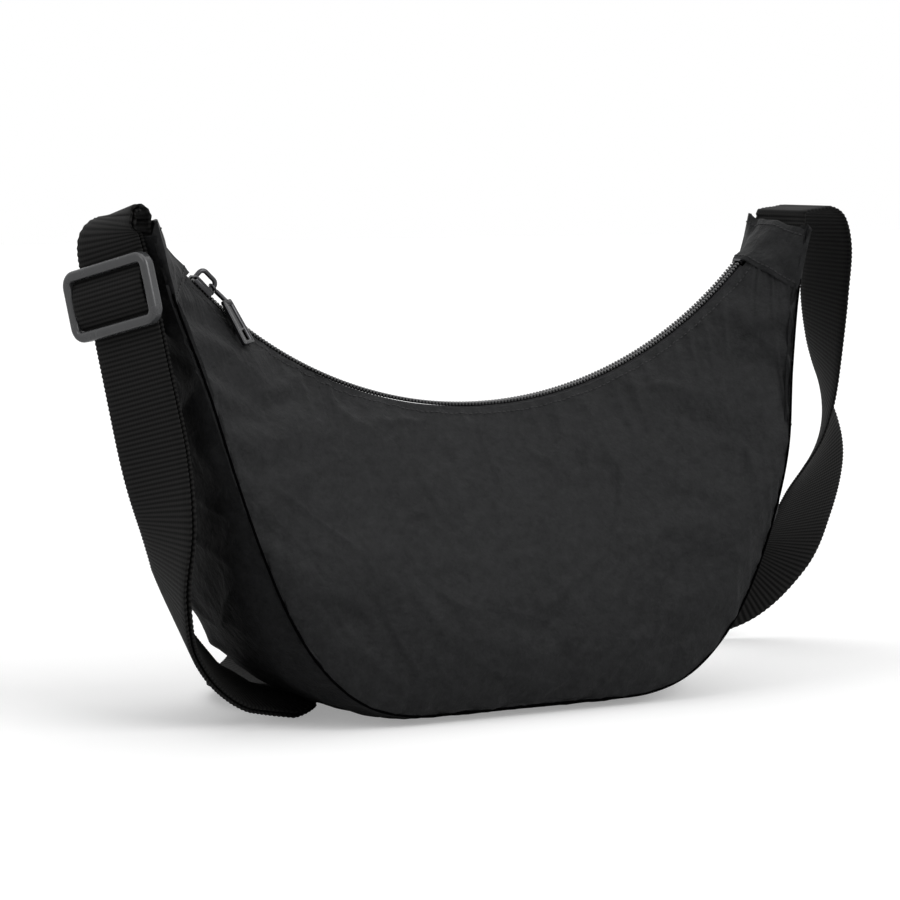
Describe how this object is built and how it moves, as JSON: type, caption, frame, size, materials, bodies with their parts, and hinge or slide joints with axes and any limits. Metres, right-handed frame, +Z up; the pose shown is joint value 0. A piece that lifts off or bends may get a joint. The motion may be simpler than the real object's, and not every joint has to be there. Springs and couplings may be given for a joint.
{
  "type": "half moon bag",
  "caption": "Half moon shoulder bag in soft nylon, with a curved zip along its mouth, a swelled gusset and a wide webbing strap with an adjuster.",
  "frame": {"origin": "middle of the flat bottom of the gusset, midway between the horns and between the seams", "axes": "+X towards the right horn, -Y towards the front panel, +Z up"},
  "size_m": [0.4077, 0.165, 0.2122],
  "materials": {
    "nylon": "matte",
    "lining": "matte",
    "zip_tape": "matte",
    "coil": "satin",
    "webbing": "matte",
    "gunmetal": "satin",
    "adjuster_plastic": "satin"
  },
  "bodies": {
    "bag": {"front_panel": "nylon", "back_panel": "nylon", "gusset": "nylon", "left_end_tab": "nylon", "right_end_tab": "nylon", "front_lining": "lining", "back_lining": "lining", "gusset_lining": "lining", "front_zip_tape": "zip_tape", "back_zip_tape": "zip_tape", "front_coil": "coil", "back_coil": "coil", "zip_stops": "gunmetal", "left_webbing_root": "webbing", "right_webbing_root": "webbing"},
    "slider": {"slider_body": "gunmetal"},
    "pull": {"pull_tab": "gunmetal"},
    "strap": {"strap_front_layer": "webbing", "strap_return_layer": "webbing", "strap_ring": "gunmetal", "ring_loops": "webbing", "strap_long": "webbing"},
    "adjuster": {"adjuster_frame": "adjuster_plastic", "adjuster_webbing": "webbing"}
  },
  "joints": [
    {"name": "zip_slide", "type": "hinge", "parent": "bag", "child": "slider", "pos_m": [0, 0, 0.30954], "axis": [0, -1, 0], "range_deg": [0, 72]},
    {"name": "pull_swing", "type": "hinge", "parent": "slider", "child": "pull", "pos_m": [-0.12234, 0, 0.17963], "axis": [0, -1, 0], "range_deg": [0, 100]},
    {"name": "strap_swing", "type": "hinge", "parent": "bag", "child": "strap", "pos_m": [0, 0.014, 0.203], "axis": [1, 0, 0], "range_deg": [0, 90]},
    {"name": "adjuster_slide", "type": "slide", "parent": "strap", "child": "adjuster", "axis": [0.1208, -0.1989, -0.9725], "range_m": [0, 0.03]}
  ]
}
